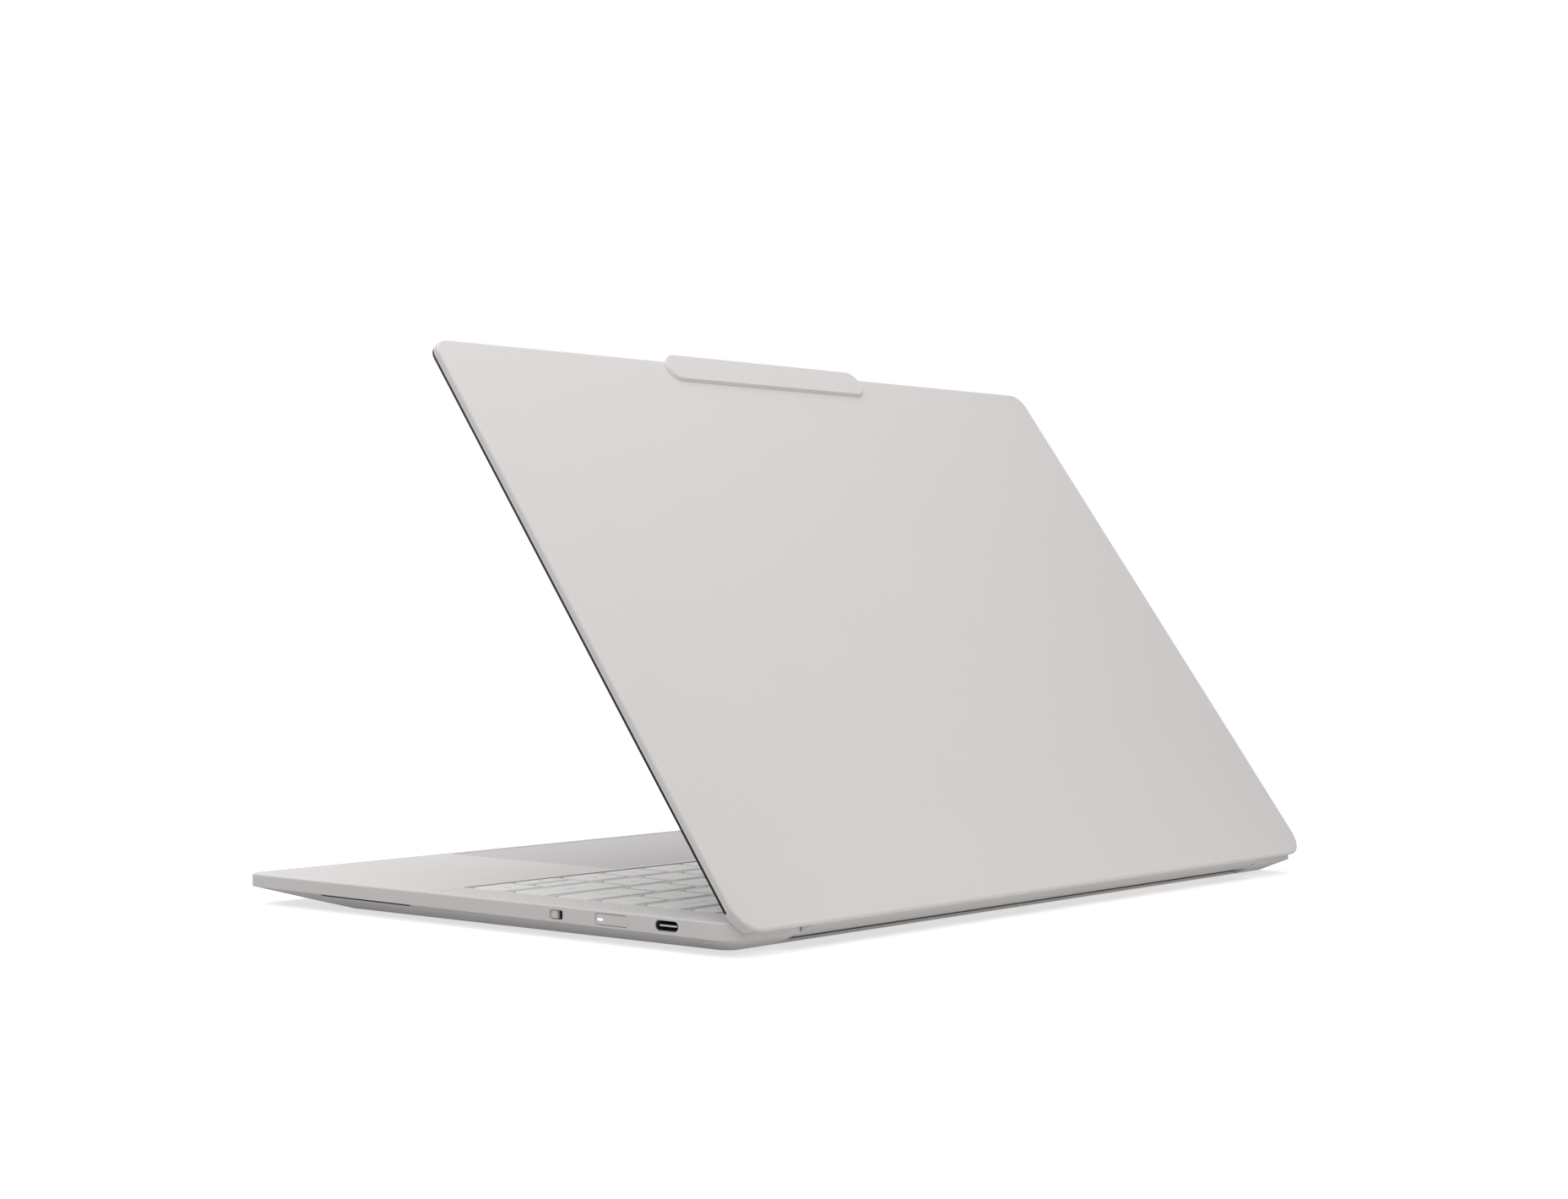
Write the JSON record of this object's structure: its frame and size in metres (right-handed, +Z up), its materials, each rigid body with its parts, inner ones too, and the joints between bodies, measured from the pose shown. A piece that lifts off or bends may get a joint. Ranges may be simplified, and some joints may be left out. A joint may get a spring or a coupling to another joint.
{
  "type": "laptop computer",
  "caption": "Slim clamshell laptop standing half open, with a sprung keyboard, touchpad, side sockets, a friction-hinged lid with a raised camera bar, and its cooling and battery inside.",
  "frame": {"origin": "centre of the open laptop's box in plan, on the table plane under its feet", "axes": "+X to the user's right, +Y away from the user towards the hinge, +Z up"},
  "size_m": [0.312, 0.2196, 0.1836],
  "materials": {
    "shell": "fine bead-blasted, warm pale grey",
    "hinge_plastic": "satin",
    "keycap": "fine matt",
    "keyboard_plate": "matt",
    "frosted_glass": "frosted, warm pale grey",
    "black_glass": "polished black",
    "panel": "satin black",
    "rubber": "matt",
    "steel": "brushed",
    "black_plastic": "matt black",
    "board": "solder-masked board",
    "copper": "bare copper",
    "light": "translucent white"
  },
  "bodies": {
    "base": {"deck_cover": "shell", "bottom_cover": "shell", "front_foot_strip": "rubber", "rear_foot_strip": "rubber", "bottom_screws": "steel", "speaker_grille_right": "shell", "speaker_grille_left": "shell", "speaker_right": "black_plastic", "speaker_left": "black_plastic", "keyboard_frame": "keyboard_plate", "keyboard_backplate": "steel", "key_domes": "rubber", "touchpad_bracket": "steel", "side_switch_board": "black_plastic", "usb_c_port_right": "steel", "usb_c_ports_left": "steel", "motherboard": "board", "heat_spreader": "copper", "heat_pipe": "copper", "fin_stack": "copper", "fan_housing": "black_plastic", "battery_pack": "black_plastic", "ssd_card": "board", "wireless_card": "board", "hinge_bracket_right": "steel", "hinge_bracket_left": "steel", "hinge_pin_right": "steel", "hinge_pin_left": "steel"},
    "lid": {"lid_cover": "shell", "camera_bar": "shell", "camera_module": "black_plastic", "cover_glass": "black_glass", "display_panel": "panel", "display_cable": "black_plastic", "hinge_cover": "hinge_plastic", "hinge_arm_right": "steel", "hinge_arm_left": "steel"},
    "fan": {"fan_rotor": "black_plastic"},
    "touchpad_plate": {"touchpad": "frosted_glass"},
    "power_key": {"power_button": "shell", "power_light": "light"},
    "shutter": {"shutter_slider": "shell"},
    "function_keys_body": {"function_keys": "keycap"},
    "number_keys_body": {"number_keys": "keycap"},
    "upper_letter_keys_body": {"upper_letter_keys": "keycap"},
    "home_letter_keys_body": {"home_letter_keys": "keycap"},
    "lower_letter_keys_body": {"lower_letter_keys": "keycap"},
    "modifier_keys_body": {"modifier_keys": "keycap"},
    "escape_key_body": {"escape_key": "keycap"},
    "backspace_key_body": {"backspace_key": "keycap"},
    "tab_key_body": {"tab_key": "keycap"},
    "caps_lock_key_body": {"caps_lock_key": "keycap"},
    "enter_key_body": {"enter_key": "keycap"},
    "left_shift_key_body": {"left_shift_key": "keycap"},
    "right_shift_key_body": {"right_shift_key": "keycap"},
    "space_key_body": {"space_key": "keycap"},
    "left_arrow_key_body": {"left_arrow_key": "keycap"},
    "right_arrow_key_body": {"right_arrow_key": "keycap"},
    "up_arrow_key_body": {"up_arrow_key": "keycap"},
    "down_arrow_key_body": {"down_arrow_key": "keycap"}
  },
  "joints": [
    {"name": "lid_hinge", "type": "hinge", "parent": "base", "child": "lid", "pos_m": [0, 0.10223, 0.00662], "axis": [-1, 0, 0], "range_deg": [-53.6, 64.4]},
    {"name": "fan_spin", "type": "hinge", "parent": "base", "child": "fan", "pos_m": [-0.077, 0.05308, 0.0045], "axis": [0, 0, 1], "continuous": true},
    {"name": "touchpad_click", "type": "slide", "parent": "base", "child": "touchpad_plate", "axis": [0, 0, -1], "range_m": [0, 0.0003], "stiffness_N_per_m": 4000, "springref_m": -0.0003},
    {"name": "power_press", "type": "slide", "parent": "base", "child": "power_key", "axis": [-1, 0, 0], "range_m": [0, 0.0003], "stiffness_N_per_m": 1500, "springref_m": -0.0003},
    {"name": "shutter_slide", "type": "slide", "parent": "base", "child": "shutter", "axis": [0, 1, 0], "range_m": [0, 0.0022]},
    {"name": "function_keys_press", "type": "slide", "parent": "base", "child": "function_keys_body", "axis": [0, 0, -1], "range_m": [0, 0.0011], "stiffness_N_per_m": 300, "springref_m": -0.0008},
    {"name": "number_keys_press", "type": "slide", "parent": "base", "child": "number_keys_body", "axis": [0, 0, -1], "range_m": [0, 0.0011], "stiffness_N_per_m": 300, "springref_m": -0.0008},
    {"name": "upper_letter_keys_press", "type": "slide", "parent": "base", "child": "upper_letter_keys_body", "axis": [0, 0, -1], "range_m": [0, 0.0011], "stiffness_N_per_m": 300, "springref_m": -0.0008},
    {"name": "home_letter_keys_press", "type": "slide", "parent": "base", "child": "home_letter_keys_body", "axis": [0, 0, -1], "range_m": [0, 0.0011], "stiffness_N_per_m": 300, "springref_m": -0.0008},
    {"name": "lower_letter_keys_press", "type": "slide", "parent": "base", "child": "lower_letter_keys_body", "axis": [0, 0, -1], "range_m": [0, 0.0011], "stiffness_N_per_m": 300, "springref_m": -0.0008},
    {"name": "modifier_keys_press", "type": "slide", "parent": "base", "child": "modifier_keys_body", "axis": [0, 0, -1], "range_m": [0, 0.0011], "stiffness_N_per_m": 300, "springref_m": -0.0008},
    {"name": "escape_key_press", "type": "slide", "parent": "base", "child": "escape_key_body", "axis": [0, 0, -1], "range_m": [0, 0.0011], "stiffness_N_per_m": 300, "springref_m": -0.0008},
    {"name": "backspace_key_press", "type": "slide", "parent": "base", "child": "backspace_key_body", "axis": [0, 0, -1], "range_m": [0, 0.0011], "stiffness_N_per_m": 300, "springref_m": -0.0008},
    {"name": "tab_key_press", "type": "slide", "parent": "base", "child": "tab_key_body", "axis": [0, 0, -1], "range_m": [0, 0.0011], "stiffness_N_per_m": 300, "springref_m": -0.0008},
    {"name": "caps_lock_key_press", "type": "slide", "parent": "base", "child": "caps_lock_key_body", "axis": [0, 0, -1], "range_m": [0, 0.0011], "stiffness_N_per_m": 300, "springref_m": -0.0008},
    {"name": "enter_key_press", "type": "slide", "parent": "base", "child": "enter_key_body", "axis": [0, 0, -1], "range_m": [0, 0.0011], "stiffness_N_per_m": 300, "springref_m": -0.0008},
    {"name": "left_shift_key_press", "type": "slide", "parent": "base", "child": "left_shift_key_body", "axis": [0, 0, -1], "range_m": [0, 0.0011], "stiffness_N_per_m": 300, "springref_m": -0.0008},
    {"name": "right_shift_key_press", "type": "slide", "parent": "base", "child": "right_shift_key_body", "axis": [0, 0, -1], "range_m": [0, 0.0011], "stiffness_N_per_m": 300, "springref_m": -0.0008},
    {"name": "space_key_press", "type": "slide", "parent": "base", "child": "space_key_body", "axis": [0, 0, -1], "range_m": [0, 0.0011], "stiffness_N_per_m": 300, "springref_m": -0.0008},
    {"name": "left_arrow_key_press", "type": "slide", "parent": "base", "child": "left_arrow_key_body", "axis": [0, 0, -1], "range_m": [0, 0.0011], "stiffness_N_per_m": 300, "springref_m": -0.0008},
    {"name": "right_arrow_key_press", "type": "slide", "parent": "base", "child": "right_arrow_key_body", "axis": [0, 0, -1], "range_m": [0, 0.0011], "stiffness_N_per_m": 300, "springref_m": -0.0008},
    {"name": "up_arrow_key_press", "type": "slide", "parent": "base", "child": "up_arrow_key_body", "axis": [0, 0, -1], "range_m": [0, 0.0011], "stiffness_N_per_m": 300, "springref_m": -0.0008},
    {"name": "down_arrow_key_press", "type": "slide", "parent": "base", "child": "down_arrow_key_body", "axis": [0, 0, -1], "range_m": [0, 0.0011], "stiffness_N_per_m": 300, "springref_m": -0.0008}
  ]
}
